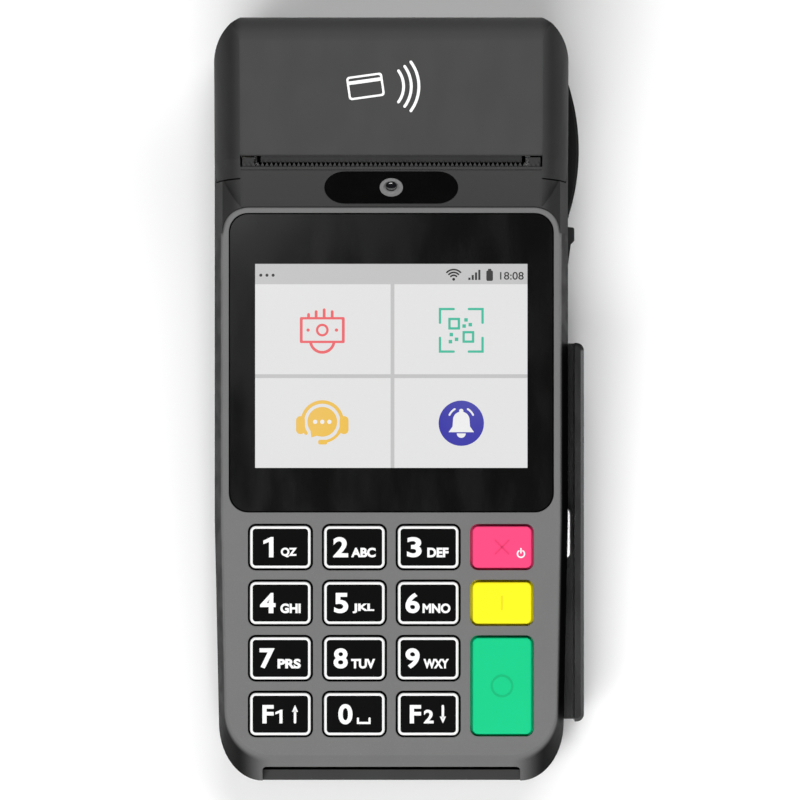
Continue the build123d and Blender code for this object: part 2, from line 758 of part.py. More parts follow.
def make_screws(places, head_z, head, shank, length):
    screws = [screw(x, y, head_z, head, shank, length) for x, y in places]
    with BuildPart() as group:
        for piece in screws:
            add(piece)
    return group


def make_speaker():
    with BuildPart() as speaker:
        with BuildSketch(Plane.XY.offset(-19.5)):
            with Locations(SPEAKER):
                Circle(7.0)
        extrude(amount=3.6)
        with BuildSketch(Plane.XY.offset(-15.9)):
            with Locations(SPEAKER):
                Circle(4.0)
        extrude(amount=1.6)
    return speaker


def make_usb_socket():
    with BuildPart() as socket:
        block_between((30.2, 35.9), (28.2, 36.6), (-18.6, -15.6))
        fillet(socket.edges().filter_by(Axis.X), 1.3)
        block_between((31.6, 37), (29.0, 35.8), (-18.0, -16.2), Mode.SUBTRACT)
        block_between((31.0, 35.0), (29.6, 35.2), (-17.4, -16.8))
    return socket


def make_nfc_antenna():
    """Loop antenna on the inside of the cover's roof."""
    with BuildPart() as antenna:
        with BuildSketch(ROOF.offset(-COVER_WALL - 0.75)):
            Rectangle(50, 14)
            Rectangle(42, 6, mode=Mode.SUBTRACT)
        extrude(amount=0.5)
    return antenna


def make_rubber_feet():
    pads = [foot_pad(y) for y in FOOT_Y]
    with BuildPart() as feet:
        for pad in pads:
            add(pad)
    return feet


# ---- Magnetic-stripe reader ---------------------------------------------------------------
def make_msr_rail():
    """Outer wall and floor of the swipe slot; the body's flank is its inner wall."""
    with BuildPart() as body:
        with BuildSketch(Plane.XY.offset(-30)):
            body_outline()
        extrude(amount=40)
    with BuildPart() as rail:
        block_between((35.0, RAIL_X[1]), RAIL_Y, (RAIL_BOTTOM_Z, RAIL_TOP_Z))
        fillet(rail.edges().filter_by(Axis.Z).sort_by(Axis.X)[-2:], RAIL_ROUND)
        add(body.part, mode=Mode.SUBTRACT)
        block_between((35.0, RAIL_X[0]), (RAIL_Y[0] - 1, RAIL_Y[1] + 1), (RAIL_FLOOR_Z, 2),
                      Mode.SUBTRACT)
        lip = rail.edges().filter_by(Axis.Y).group_by(Axis.Z)[-1]
        chamfer(lip.sort_by(Axis.X)[-1], 0.7)
    return rail


def make_msr_head():
    """Read head: a metal can with a rounded nose that stands into the slot."""
    with BuildPart() as head:
        block_between((32.6, 38.2), (HEAD_Y - 5.5, HEAD_Y + 5.5), (HEAD_Z - 2.2, HEAD_Z + 2.2))
        fillet(head.edges().filter_by(Axis.Z).group_by(Axis.X)[-1], 1.4)
        fillet(head.edges().filter_by(Axis.Y).group_by(Axis.X)[-1], 0.4)
    return head


def make_msr_spring():
    """Bowed leaf behind the read head, drawn as pressed by a card."""
    with BuildPart() as spring:
        with BuildSketch(Plane.XY.offset(HEAD_Z - 1.5)):
            with BuildLine():
                outer = ThreePointArc((30.6, HEAD_Y - 7), (31.9, HEAD_Y), (30.6, HEAD_Y + 7))
                inner = ThreePointArc((30.3, HEAD_Y - 7), (31.6, HEAD_Y), (30.3, HEAD_Y + 7))
                Line(outer @ 0, inner @ 0)
                Line(outer @ 1, inner @ 1)
            make_face()
        extrude(amount=3.0)
    return spring


# ---- Release lever and port flap ----------------------------------------------------------
def make_release_lever():
    """Paper-cover release: a long lever on the right flank with a bulged finger grip."""
    with BuildPart() as lever:
        with BuildSketch(Plane.XY.offset(LEVER_Z[0])):
            with BuildLine():
                Line((35.5, LEVER_PIN_Y), (35.5, LEVER_END_Y))
                Line((35.5, LEVER_END_Y), (37.6, LEVER_END_Y))
                ThreePointArc((37.6, LEVER_END_Y), LEVER_BULGE, (37.9, LEVER_PIN_Y))
                Line((37.9, LEVER_PIN_Y), (35.5, LEVER_PIN_Y))
            make_face()
            with Locations((LEVER_PIN_X, LEVER_PIN_Y)):
                Circle(1.2)
                Circle(SIDE_PIN_R + RUN, mode=Mode.SUBTRACT)
        extrude(amount=LEVER_Z[1] - LEVER_Z[0])
        grip = lever.edges().filter_by(lambda edge: edge.center().X > 38.3)
        chamfer(grip, 0.6)
    return lever


def make_lever_pin():
    with BuildPart() as pin:
        with Locations((LEVER_PIN_X, LEVER_PIN_Y, SIDE_PIN_Z)):
            Cylinder(SIDE_PIN_R, 9.2)
    return pin


def make_lever_spring():
    """Small leaf that returns the lever, drawn pressed flat in its pocket."""
    with BuildPart() as spring:
        block_between((35.22, 35.42), (50, 60), (-18.5, -15.5))
    return spring


def make_port_flap():
    """Rubber flap over the port, with a finger lip at its upper end."""
    with BuildPart() as flap:
        with BuildSketch(Plane.XY.offset(FLAP_Z[0])):
            polygon(
                (36.4, FLAP_PIN_Y), (37.5, FLAP_PIN_Y), (38.3, 33.4), (39.05, 34.2),
                (39.05, 37.0), (36.4, 37.3),
            )
            with Locations((FLAP_PIN_X, FLAP_PIN_Y)):
                Circle(SIDE_PIN_R)
        extrude(amount=FLAP_Z[1] - FLAP_Z[0])
        fillet(flap.edges().filter_by(Axis.Z).group_by(Axis.X)[-1], 0.4)
    return flap


# ---- Printer ------------------------------------------------------------------------------
def gear_face(teeth, centre, phase, bore):
    """Involute spur gear with a tooth pointing along phase (degrees), drawn in one plane."""
    pitch = MODULE * teeth / 2
    pressure = radians(PRESSURE_ANGLE)
    base = pitch * cos(pressure)
    tip, root = pitch + TEETH_OUT * MODULE, pitch - TEETH_IN * MODULE
    half = pi / 2 / teeth - BACKLASH / pitch + tan(pressure) - pressure
    low = max(base, root)
    flank = []
    for step in range(4):
        r = low + (tip - low) * step / 3
        roll = atan2(max(r**2 - base**2, 0.0) ** 0.5, base)
        flank.append((r, half - tan(roll) + roll))
    points = []
    for tooth in range(teeth):
        axis = radians(phase) + 2 * pi * tooth / teeth
        side = [(root, half)] + flank
        ring = [(r, -a) for r, a in side] + [(r, a) for r, a in reversed(side)]
        points += [
            (centre[0] + r * cos(axis + a), centre[1] + r * sin(axis + a)) for r, a in ring
        ]
    polygon(*points)
    if bore:
        with Locations(centre):
            Circle(bore, mode=Mode.SUBTRACT)


def make_gear(teeth, centre, phase, bore):
    with BuildPart() as gear:
        with BuildSketch(Plane.YZ.offset(GEAR_X)):
            gear_face(teeth, centre, phase, bore)
        extrude(amount=GEAR_WIDTH)
    return gear


def make_motor_pinion():
    """Pinion on the motor's turning shaft."""
    with BuildPart() as pinion:
        with BuildSketch(Plane.YZ.offset(GEAR_X)):
            gear_face(PINION_TEETH, PINION, PINION_PHASE, 0)
        extrude(amount=GEAR_WIDTH)
        tube_on_x(*PINION, MOTOR_SHAFT_R, 0, (GEAR_X, -20.0))
    return pinion


# A gap of each gear faces the tooth of the one before it.
PLATEN_PHASE = IDLER_ANGLE
IDLER_PHASE = IDLER_ANGLE + 180 + 180 / IDLER_TEETH
PINION_PHASE = (
    PINION_ANGLE + 180 + 180 / PINION_TEETH
    - (IDLER_PHASE - PINION_ANGLE) * IDLER_TEETH / PINION_TEETH
)


def make_platen_shaft():
    with BuildPart() as shaft:
        tube_on_x(PLATEN_Y, PLATEN_Z, PLATEN_SHAFT_R, 0, (-32.8, 31.6))
        chamfer(shaft.edges().filter_by(GeomType.CIRCLE), 0.3)
    return shaft


def make_platen_rubber():
    with BuildPart() as rubber:
        tube_on_x(PLATEN_Y, PLATEN_Z, PLATEN_R, PLATEN_SHAFT_R, mirrored(PLATEN_HALF))
    return rubber


def make_platen_bushes():
    with BuildPart() as bushes:
        for x_range in ((-32.9, -31.9), (30.0, 31.7)):
            tube_on_x(PLATEN_Y, PLATEN_Z, 2.1, PLATEN_SHAFT_R + RUN, x_range)
    return bushes


def make_paper_cover():
    outer, hollow = head_block(0.0), head_block(COVER_WALL)
    volume = cover_volume()
    with BuildPart() as barrel:
        tube_on_x(HINGE_Y, HINGE_Z, BARREL_R, 0, mirrored(34.5))
        add(outer, mode=Mode.INTERSECT)
    with BuildPart() as ribs:
        for x_range in ((-33.2, -31.9), (29.9, 31.7)):
            block_between(x_range, (PLATEN_Y - 3.4, PLATEN_Y + 3.4), (-0.8, 12))
        add(head_block(1.0), mode=Mode.INTERSECT)
        for x_range in ((-33.2, -31.9), (29.9, 31.7)):
            bore_on_x(PLATEN_Y, PLATEN_Z, 2.1, x_range)
    with BuildPart() as cover:
        add(outer)
        add(volume, mode=Mode.INTERSECT)
        add(hollow, mode=Mode.SUBTRACT)
        add(barrel.part)
        add(ribs.part)
        for side in mirrored(1):
            near, far = sorted((side * (EAR_X[0] - SEAM), side * (EAR_X[1] + SEAM)))
            block_between((near, far), (70, 85), (-14, HINGE_Z + 2.8), Mode.SUBTRACT)
        bore_on_x(HINGE_Y, HINGE_Z, HINGE_PIN_R + RUN, mirrored(31.3))
        front = cover.edges().filter_by(Axis.X).filter_by(
            lambda edge: edge.center().Z > 5 and abs(edge.center().Y - COVER_Y) < 0.1
        )
        fillet(front.sort_by(Axis.Z)[-1], 0.5)
    return cover


def make_cover_hinge_pin():
    with BuildPart() as pin:
        tube_on_x(HINGE_Y, HINGE_Z, HINGE_PIN_R, 0, mirrored(31.0))
    return pin


def make_tear_bar():
    """Serrated strip at the top of the camera slope, with a shelf that closes each end."""
    teeth = 66
    pitch = 2 * TEAR_HALF / teeth
    with BuildPart() as bar:
        with BuildSketch(Plane.XY.offset(5.8)):
            with Locations((0, TEAR_Y - 0.3)):
                Rectangle(2 * TEAR_HALF, 0.6)
            for tooth in range(teeth):
                left = -TEAR_HALF + tooth * pitch
                polygon((left, TEAR_Y), (left + pitch, TEAR_Y), (left + pitch / 2, TEAR_Y + 1))
        extrude(amount=0.6)
        for side in mirrored(1):
            x_range = sorted((side * (PLATEN_HALF + 0.9), side * TEAR_HALF))
            block_between(x_range, (TEAR_Y + FIT, COVER_Y - SEAM), (5.3, 5.9))
    return bar


def make_printer_frame():
    """Folded steel bracket: floor, two side plates, spring tabs and the idler's stud."""
    with BuildPart() as bracket:
        block_between(mirrored(29.4), (38.6, 46.4), (-16.0, -15.0))
        for side in mirrored(1):
            near, far = sorted((side * FRAME_PLATE_X, side * (FRAME_PLATE_X + FRAME_PLATE)))
            with BuildSketch(Plane.YZ.offset(near)):
                polygon(
                    (38.6, -16.0), (46.4, -16.0), (52.8, -9.0), (52.8, -1.2), (47.0, -1.2),
                    (43.0, -4.4), (38.6, -4.4),
                )
            extrude(amount=far - near)
            block_between((side * 11 - 2, side * 11 + 2), (44.9, 45.7), (-15.5, 0.2))
        bore_on_x(*PINION, MOTOR_SHAFT_R + 4 * RUN, (-30.0, -28.0))
        bore_on_x(*HEAD_PIVOT, HEAD_PIVOT_R + RUN, mirrored(29.5))
        tube_on_x(*IDLER, IDLER_STUD_R, 0, (GEAR_X - 0.2, -FRAME_PLATE_X))
    return bracket


def make_print_head():
    """Thermal head on its heat sink, with stub pivots at the foot."""
    with BuildPart() as head:
        block_between(mirrored(27.5), (50.3, 52.2), (-3.4, 5.4))
        block_between(mirrored(25.5), (52.2, 52.6), (0.0, 4.6))
        tube_on_x(*HEAD_PIVOT, HEAD_PIVOT_R, 0, mirrored(29.2))
    return head


def make_head_springs():
    """Two coil springs behind the print head, drawn at their pressed length."""
    with BuildPart() as springs:
        for x in mirrored(11):
            with BuildSketch(Plane.XY.offset(-1.0)) as wire:
                for turn in range(7):
                    with Locations((x + 0.8, 46.05 + turn * 0.5)):
                        Circle(0.3)
            revolve(wire.sketch, Axis((x, 0, -1.0), (0, 1, 0)))
    return springs


def make_stepper_motor():
    with BuildPart() as motor:
        tube_on_x(*PINION, MOTOR_R, 0, (-28.3, -18.5))
        tube_on_x(*PINION, 2.0, 0, (-18.5, -17.7))
        bore_on_x(*PINION, MOTOR_SHAFT_R + RUN, (-30, -19.5))
    return motor


def make_paper_roll():
    with BuildPart() as roll:
        tube_on_x(ROLL_Y, ROLL_Z, ROLL_R, CORE_R, mirrored(ROLL_HALF))
    return roll


def make_roll_core():
    with BuildPart() as core:
        tube_on_x(ROLL_Y, ROLL_Z, CORE_R, CORE_R - 1.2, mirrored(ROLL_HALF))
    return core


# ---- Write every piece --------------------------------------------------------------------
save(make_front_frame(), "front_frame")
save(make_upper_housing(), "upper_housing")
save(make_lower_housing(), "lower_housing")
save(make_display_glass(), "display_glass")
save(make_lcd_module(), "lcd_module")
save(make_camera_window(), "camera_window")
save(make_camera_ring(), "camera_ring")
save(make_camera_lens(), "camera_lens")
save(make_camera_module(), "camera_module")
for name, centre, size in key_places():
    save(make_key(centre, size), f"key_{name}")
save(make_keypad_mat(), "keypad_mat")
save(make_keypad_board(), "keypad_board")
save(make_main_board(), "main_board")
save(make_card_reader(), "card_reader")
save(make_battery_pack(), "battery_pack")
save(make_battery_cover(), "battery_cover")
save(make_screws(CASE_SCREWS, -19.4, (2.1, 1.4), 1.15, 11.0), "case_screws")
save(make_screws(COVER_SCREWS, GRIP_Z + 0.05, (1.5, 0.55), 0.75, 4.0), "cover_screws")
save(make_screws(BOARD_SCREWS, BOARD_Z[1] + 1.0, (1.6, -1.0), 0.75, -5.0), "board_screws")
save(make_speaker(), "speaker")
save(make_usb_socket(), "usb_socket")
save(make_nfc_antenna(), "nfc_antenna")
save(make_rubber_feet(), "rubber_feet")
save(make_msr_rail(), "msr_rail")
save(make_msr_head(), "msr_head")
save(make_msr_spring(), "msr_spring")
save(make_release_lever(), "release_lever")
save(make_lever_pin(), "lever_pin")
save(make_lever_spring(), "lever_spring")
save(make_port_flap(), "port_flap")
save(make_paper_cover(), "paper_cover")
save(make_cover_hinge_pin(), "cover_hinge_pin")
save(make_tear_bar(), "tear_bar")
save(make_printer_frame(), "printer_frame")
save(make_print_head(), "print_head")
save(make_head_springs(), "head_springs")
save(make_stepper_motor(), "stepper_motor")
save(make_motor_pinion(), "motor_pinion")
save(make_gear(IDLER_TEETH, IDLER, IDLER_PHASE, IDLER_STUD_R + RUN), "idler_gear")
save(make_gear(PLATEN_TEETH, (PLATEN_Y, PLATEN_Z), PLATEN_PHASE, PLATEN_SHAFT_R), "platen_gear")
save(make_platen_shaft(), "platen_shaft")
save(make_platen_rubber(), "platen_rubber")
save(make_platen_bushes(), "platen_bushes")
save(make_paper_roll(), "paper_roll")
save(make_roll_core(), "roll_core")
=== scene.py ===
import json
import math

import bmesh
import bpy
from mathutils import Matrix, Vector


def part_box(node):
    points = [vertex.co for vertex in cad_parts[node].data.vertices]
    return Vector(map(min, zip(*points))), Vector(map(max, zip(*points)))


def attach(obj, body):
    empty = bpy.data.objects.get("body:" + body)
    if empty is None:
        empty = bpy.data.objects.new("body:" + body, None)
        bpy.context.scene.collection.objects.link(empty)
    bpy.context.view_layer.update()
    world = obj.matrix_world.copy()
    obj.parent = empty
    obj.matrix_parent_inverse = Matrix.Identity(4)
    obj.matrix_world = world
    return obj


# A portable card payment terminal. The CAD nodes keep their shapes and get their materials here;
# the printed legends, the lit picture, the raised marks and the pictogram are added as thin pieces.
# Drawn sizes are in millimetres on the terminal's own planes: the tilted face, the camera's slope
# and the cover's roof.

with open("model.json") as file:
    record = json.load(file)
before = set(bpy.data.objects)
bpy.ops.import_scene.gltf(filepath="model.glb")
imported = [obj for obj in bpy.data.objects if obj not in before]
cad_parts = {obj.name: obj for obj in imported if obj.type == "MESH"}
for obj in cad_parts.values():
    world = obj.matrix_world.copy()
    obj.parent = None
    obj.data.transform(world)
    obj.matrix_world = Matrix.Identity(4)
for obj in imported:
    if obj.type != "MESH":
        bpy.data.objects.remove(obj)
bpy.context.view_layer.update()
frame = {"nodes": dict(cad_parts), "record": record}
nodes = frame["nodes"]
slot_of = {row["node"]: row["material_slot"] for row in frame["record"]["subparts"]}
body_with = {
    node: body
    for body, members in frame["record"]["behaviour"]["bodies"].items()
    for node in members
}

TILT = math.radians(8.0)  # lean of the face
ROOF_LEAN = math.radians(11.7)  # the cover's roof against the face
PLATE_TOP = 41.0  # faceplate's upper end, from the face's middle
MM = 0.001


# ---- Places -------------------------------------------------------------------------------
def box_within(node, matrix):
    """Lowest and highest corners of a CAD node after a matrix."""
    points = [matrix @ vertex.co for vertex in nodes[node].data.vertices]
    low = Vector(min(point[axis] for point in points) for axis in range(3))
    high = Vector(max(point[axis] for point in points) for axis in range(3))
    return low, high


plate_low, plate_high = box_within("front_frame", Matrix.Rotation(-TILT, 3, "X"))
FACE = (
    Matrix.Rotation(TILT, 4, "X")
    @ Matrix.Translation(
        ((plate_low.x + plate_high.x) / 2, plate_high.y - PLATE_TOP * MM, plate_high.z)
    )
    @ Matrix.Scale(MM, 4)
)
FACE_INVERSE = FACE.inverted()


def face_box(node):
    """Corners of a CAD node in the face's millimetres."""
    return box_within(node, FACE_INVERSE)


def on_key(node):
    """Plane on a key's top, with its origin in the middle of the cap."""
    low, high = face_box(node)
    return FACE @ Matrix.Translation(((low.x + high.x) / 2, (low.y + high.y) / 2, high.z))


# ---- Camera, floor and lights -------------------------------------------------------------
VIEW_CENTRE = FACE @ Vector((1.84, 0.21, 0.0))
VIEW_WIDTH = 0.1692
LENS = 300.0
SENSOR = 36.0

camera_data = bpy.data.cameras.new("camera")
camera_data.lens = LENS
camera_data.sensor_width = SENSOR
camera_data.clip_start = 0.05
camera_data.clip_end = 50.0
camera = bpy.data.objects.new("camera", camera_data)
bpy.context.scene.collection.objects.link(camera)
camera.location = VIEW_CENTRE + Vector((0, -math.sin(TILT), math.cos(TILT))) * (
    VIEW_WIDTH * LENS / SENSOR
)
camera.rotation_euler = (TILT, 0, 0)
bpy.context.scene.camera = camera
bpy.context.scene.view_settings.view_transform = "Standard"


def soft_light(name, place, aim, size, power):
    data = bpy.data.lights.new(name, "AREA")
    data.shape = "RECTANGLE"
    data.size, data.size_y = size
    data.energy = power
    light = bpy.data.objects.new(name, data)
    bpy.context.scene.collection.objects.link(light)
    light.location = place
    light.rotation_euler = (Vector(aim) - Vector(place)).to_track_quat("-Z", "Y").to_euler()


soft_light("key_light", (-0.3, -1.0, 1.8), (0, 0, 0), (1.3, 0.9), 39.0)
soft_light("back_light", (0.3, 0.8, 1.8), (0, 0, 0), (1.2, 0.6), 14.0)
soft_light("right_light", (1.6, 0.0, 0.32), (0, 0, 0), (0.25, 0.8), 3.0)
# A dim card high over the upper left, which the glass reflects
soft_light("glass_card", FACE @ Vector((-250, 220, 2000)), FACE @ Vector((0, 0, 0)),
           (0.34, 0.34), 0.85)

world = bpy.data.worlds.new("studio")
world.use_nodes = True
world.node_tree.nodes["Background"].inputs["Color"].default_value = (1.0, 1.0, 1.0, 1.0)
world.node_tree.nodes["Background"].inputs["Strength"].default_value = 0.09
bpy.context.scene.world = world


# ---- Materials ----------------------------------------------------------------------------
def srgb(*levels):
    """Linear colour of display levels from 0 to 255."""
    return tuple(
        level / 255 / 12.92 if level <= 10 else ((level / 255 + 0.055) / 1.055) ** 2.4
        for level in levels
    ) + (1.0,)


def grey(level):
    return srgb(level, level, level)


class Recipe:
    """Short forms for wiring one procedural material."""

    def __init__(self, name):
        self.material = bpy.data.materials.new(name)
        self.material.use_nodes = True
        self.tree = self.material.node_tree
        self.shader = self.tree.nodes["Principled BSDF"]
        self.place = self.add("ShaderNodeTexCoord").outputs["Object"]

    def add(self, kind, inputs=None, **settings):
        node = self.tree.nodes.new(kind)
        for key, value in settings.items():
            setattr(node, key, value)
        for key, value in (inputs or {}).items():
            self.put(node.inputs[key], value)
        return node

    def put(self, socket, value):
        if isinstance(value, bpy.types.NodeSocket):
            self.tree.links.new(value, socket)
        else:
            socket.default_value = value

    def noise(self, size, detail=3.0, stretch=(1, 1, 1)):
        """Noise with features of a size in millimetres; returns its factor."""
        place = self.add("ShaderNodeMapping", {"Vector": self.place, "Scale": stretch})
        settings = {"Vector": place.outputs[0], "Scale": 1 / (size * MM), "Detail": detail}
        return self.add("ShaderNodeTexNoise", settings).outputs["Fac"]

    def spread(self, value, low, high, start=0.35, stop=0.65):
        """A value from start to stop mapped smoothly to low to high."""
        inputs = {
            "Value": value, "From Min": start, "From Max": stop, "To Min": low, "To Max": high,
        }
        return self.add("ShaderNodeMapRange", inputs, interpolation_type="SMOOTHSTEP").outputs[0]

    def mix(self, factor, first, second):
        node = self.add("ShaderNodeMix", data_type="RGBA")
        self.put(node.inputs["Factor"], factor)
        self.put(node.inputs["A"], first)
        self.put(node.inputs["B"], second)
        return node.outputs["Result"]

    def math(self, operation, first, second=0.0):
        node = self.add("ShaderNodeMath", operation=operation)
        self.put(node.inputs[0], first)
        self.put(node.inputs[1], second)
        return node.outputs[0]

    def face_axis(self, axis):
        """Distance along an axis of the tilted face, in millimetres from its middle."""
        row = FACE_INVERSE[axis]
        node = self.add("ShaderNodeVectorMath", operation="DOT_PRODUCT")
        self.put(node.inputs[0], self.place)
        self.put(node.inputs[1], tuple(row[:3]))
        return self.math("ADD", node.outputs["Value"], row[3])

    def bump(self, height, depth, strength=1.0, below=None):
        """Relief of a depth in millimetres."""
        node = self.add("ShaderNodeBump", {"Height": height})
        node.inputs["Distance"].default_value = depth * MM
        node.inputs["Strength"].default_value = strength
        if below is not None:
            self.put(node.inputs["Normal"], below)
        return node.outputs["Normal"]

    def set(self, **inputs):
        for key, value in inputs.items():
            self.put(self.shader.inputs[key.replace("_", " ")], value)
        return self


def tinted(colour, share):
    """The colour made lighter, or darker for a negative share."""
    return tuple(min(1.0, part * (1 + share)) for part in colour[:3]) + (1.0,)


def moulded(name, colour, roughness, grain=0.35, relief=0.012, gloss_change=0.03, mottle=0.04,
            coat=0.0, specular=0.5):
    """Moulded plastic: a spark-eroded grain, slow colour drift and handling marks in the gloss."""
    recipe = Recipe(name)
    drift = recipe.noise(14.0, detail=2.0)
    marks = recipe.noise(5.0, detail=6.0, stretch=(1, 0.35, 1))
    texture = recipe.noise(grain, detail=2.0)
    recipe.set(Base_Color=recipe.mix(drift, tinted(colour, -mottle), tinted(colour, mottle)))
    recipe.set(Roughness=recipe.spread(marks, roughness - gloss_change, roughness + gloss_change))
    recipe.set(Normal=recipe.bump(texture, relief))
    recipe.set(Coat_Weight=coat, Coat_Roughness=0.08, Specular_IOR_Level=specular)
    return recipe


def metal(name, colour, roughness, stretch=(1, 12, 12), relief=0.004):
    """Drawn or brushed metal: fine lines one way, with cloudy polish."""
    recipe = Recipe(name)
    lines = recipe.noise(1.2, detail=4.0, stretch=stretch)
    clouds = recipe.noise(6.0, detail=3.0)
    recipe.set(Base_Color=recipe.mix(clouds, tinted(colour, -0.18), tinted(colour, 0.1)))
    recipe.set(Roughness=recipe.spread(lines, roughness - 0.08, roughness + 0.14))
    recipe.set(Normal=recipe.bump(lines, relief), Metallic=1.0)
    return recipe


def faceplate():
    """Satin paint with a metal fleck; painted shade turns the skirt near-black below the top edge
    towards the flanks.
    """
    recipe = Recipe("face_paint")
    across = recipe.math("ABSOLUTE", recipe.face_axis(0))
    depth = recipe.face_axis(2)
    # Painted shade: below the plate's top edge and towards the flanks the paint turns to grey(14),
    # standing in for the shade on the skirt's steep sides.
    below = recipe.spread(depth, 1.0, 0.0, -1.6, -0.3)
    side = recipe.spread(across, 0.0, 1.0, 25.0, 32.5)
    painted_skirt_shade = recipe.math("MULTIPLY", below, side)
    fleck = recipe.noise(0.12, detail=1.0)
    drift = recipe.noise(18.0, detail=2.0)
    paint = recipe.mix(drift, grey(108), grey(113))
    paint = recipe.mix(recipe.spread(fleck, 0.0, 0.16, 0.55, 0.8), paint, grey(175))
    recipe.set(Base_Color=recipe.mix(painted_skirt_shade, paint, grey(14)))
    recipe.set(Roughness=recipe.spread(recipe.noise(4.0, detail=5.0), 0.4, 0.52))
    recipe.set(Normal=recipe.bump(fleck, 0.004), Metallic=0.0, Specular_IOR_Level=0.08)
    return recipe.material


def screen_glass():
    """Black glass with faint wiping marks."""
    recipe = Recipe("screen_glass")
    wipes = recipe.noise(7.0, detail=5.0, stretch=(1, 0.3, 1))
    tone = recipe.noise(20.0)
    recipe.set(Base_Color=recipe.mix(tone, grey(1), grey(3)))
    recipe.set(Roughness=recipe.spread(wipes, 0.1, 0.15))
    recipe.set(Normal=recipe.bump(recipe.noise(9.0), 0.002), IOR=1.5)
    return recipe.material


def circuit_board():
    """Green solder mask over traces, with black parts standing on it."""
    recipe = Recipe("circuit_board")
    traces = recipe.add(
        "ShaderNodeTexBrick",
        {"Vector": recipe.place, "Scale": 400.0, "Mortar Size": 0.03,
         "Color1": srgb(16, 74, 44), "Color2": srgb(20, 84, 50), "Mortar": srgb(38, 116, 72)},
    )
    drift = recipe.noise(10.0)
    colour = recipe.mix(drift, traces.outputs["Color"], srgb(14, 66, 40))
    recipe.set(Base_Color=colour, Roughness=recipe.spread(drift, 0.25, 0.4))
    recipe.set(Normal=recipe.bump(traces.outputs["Fac"], 0.03))
    return recipe.material


def wound_paper():
    """Thermal paper seen on the roll: windings on the ends, fibre on the outside."""
    recipe = Recipe("wound_paper")
    low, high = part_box("paper_roll")
    centre = (low + high) / 2
    away = recipe.add("ShaderNodeVectorMath", operation="SUBTRACT")
    recipe.put(away.inputs[0], recipe.place)
    recipe.put(away.inputs[1], tuple(centre))
    flat = recipe.add("ShaderNodeVectorMath", operation="MULTIPLY")
    recipe.put(flat.inputs[0], away.outputs[0])
    recipe.put(flat.inputs[1], (0.0, 1.0, 1.0))
    radius = recipe.add("ShaderNodeVectorMath", operation="LENGTH")
    recipe.put(radius.inputs[0], flat.outputs[0])
    layers = recipe.math("SINE", recipe.math("MULTIPLY", radius.outputs["Value"], 22000.0))
    fibre = recipe.noise(0.6, detail=5.0)
    tone = recipe.mix(recipe.spread(layers, 0.0, 1.0, -1.0, 1.0), grey(205), grey(238))
    recipe.set(Base_Color=recipe.mix(recipe.spread(fibre, 0.0, 0.3), tone, srgb(228, 224, 214)))
    recipe.set(Roughness=recipe.spread(fibre, 0.62, 0.8))
    recipe.set(Normal=recipe.bump(fibre, 0.01))
    return recipe.material


def lit(name, colour, strength=1.06):
    """Part of the lit picture: backlight through a fine pixel grid, under the glass's gloss."""
    recipe = Recipe(name)
    pixels = recipe.add(
        "ShaderNodeTexBrick",
        {"Vector": recipe.place, "Scale": 2600.0, "Mortar Size": 0.02, "Color1": colour,
         "Color2": tinted(colour, -0.02), "Mortar": tinted(colour, -0.25)},
        offset=0.0, squash=1.0,
    )
    glow = recipe.noise(25.0, detail=1.0)
    shade = recipe.mix(recipe.spread(glow, 0.0, 0.05), pixels.outputs["Color"], grey(200))
    recipe.set(Base_Color=grey(12), Emission_Color=shade, Emission_Strength=strength)
    recipe.set(Roughness=recipe.spread(glow, 0.1, 0.16), Coat_Weight=0.2)
    return recipe.material


def printed(name, colour, roughness=0.45):
    """Opaque screen print with a slightly uneven film."""
    recipe = moulded(name, colour, roughness, grain=0.08, relief=0.002, mottle=0.03)
    return recipe.material


# The painted shade on the case's shoulders and flanks fades in between these two distances across
# the face.
ROOF_HALF, FLANK_HALF = 31.0, 34.0  # where the case starts and ends turning to its flanks


def shell(name, colour, flank_shade_colour):
    """The case's plastic, with painted shade making it darker on the shoulders and flanks than on
    the lid's flat roof.
    """
    recipe = moulded(name, colour, 0.55, specular=0.1)
    drift = recipe.noise(16.0, detail=2.0)
    across = recipe.math("ABSOLUTE", recipe.face_axis(0))
    # Painted shade: across the shoulders the colour turns to the darker flank shade colour,
    # standing in for the shade on the steep sides.
    side = recipe.spread(across, 0.0, 1.0, ROOF_HALF, FLANK_HALF)
    top = recipe.mix(drift, tinted(colour, -0.04), tinted(colour, 0.04))
    painted_flank_shade = recipe.mix(drift, tinted(flank_shade_colour, -0.06), tinted(flank_shade_colour, 0.06))
    recipe.set(Base_Color=recipe.mix(side, top, painted_flank_shade))
    return recipe.material


def coloured(name, colour):
    """Satin key cap, moulded in one colour."""
    recipe = moulded(name, colour, 0.42, grain=0.15, relief=0.004, mottle=0.03, specular=0.1)
    return recipe.material


